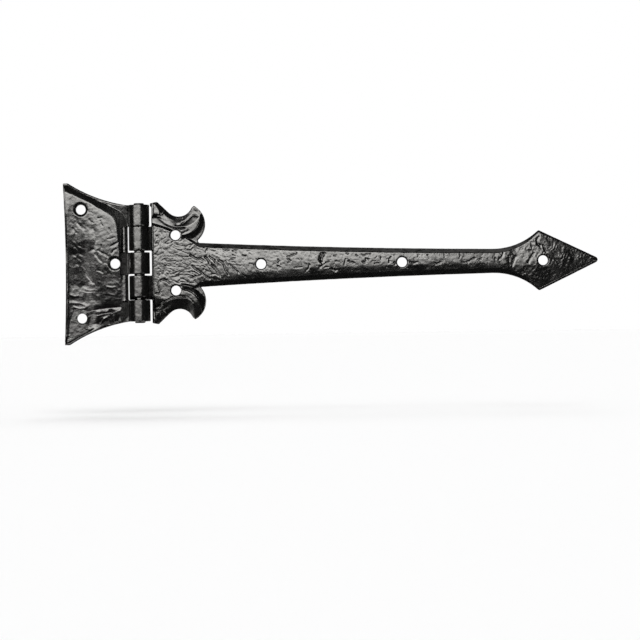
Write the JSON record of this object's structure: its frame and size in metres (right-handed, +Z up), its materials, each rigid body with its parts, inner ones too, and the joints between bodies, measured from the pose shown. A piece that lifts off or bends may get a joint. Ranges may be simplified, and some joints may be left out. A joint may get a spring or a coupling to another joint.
{
  "type": "decorative door hinge",
  "caption": "Cast tee hinge: a flared jamb plate and a long strap with curled horns and an arrowhead turn on a pin through interleaved knuckles, for hanging a boarded door or gate.",
  "frame": {"origin": "on the plane of the two leaves' backs, straight behind the pin, at half the height of the barrel; this is the edge of the jamb plate's flat back", "axes": "+X along the strap towards the arrowhead, +Z up along the pin, and the backs look towards +Y, so the decorated front looks towards -Y"},
  "size_m": [0.3043, 0.0118, 0.0922],
  "materials": {
    "black_iron": "semi-gloss black paint over rough cast iron"
  },
  "bodies": {
    "jamb": {"jamb_plate": "black_iron", "pin": "black_iron"},
    "door": {"strap": "black_iron"}
  },
  "joints": [
    {"name": "strap_swing", "type": "hinge", "parent": "jamb", "child": "door", "pos_m": [0, -0.0059, 0], "axis": [0, 0, -1], "range_deg": [-90, 180]}
  ]
}
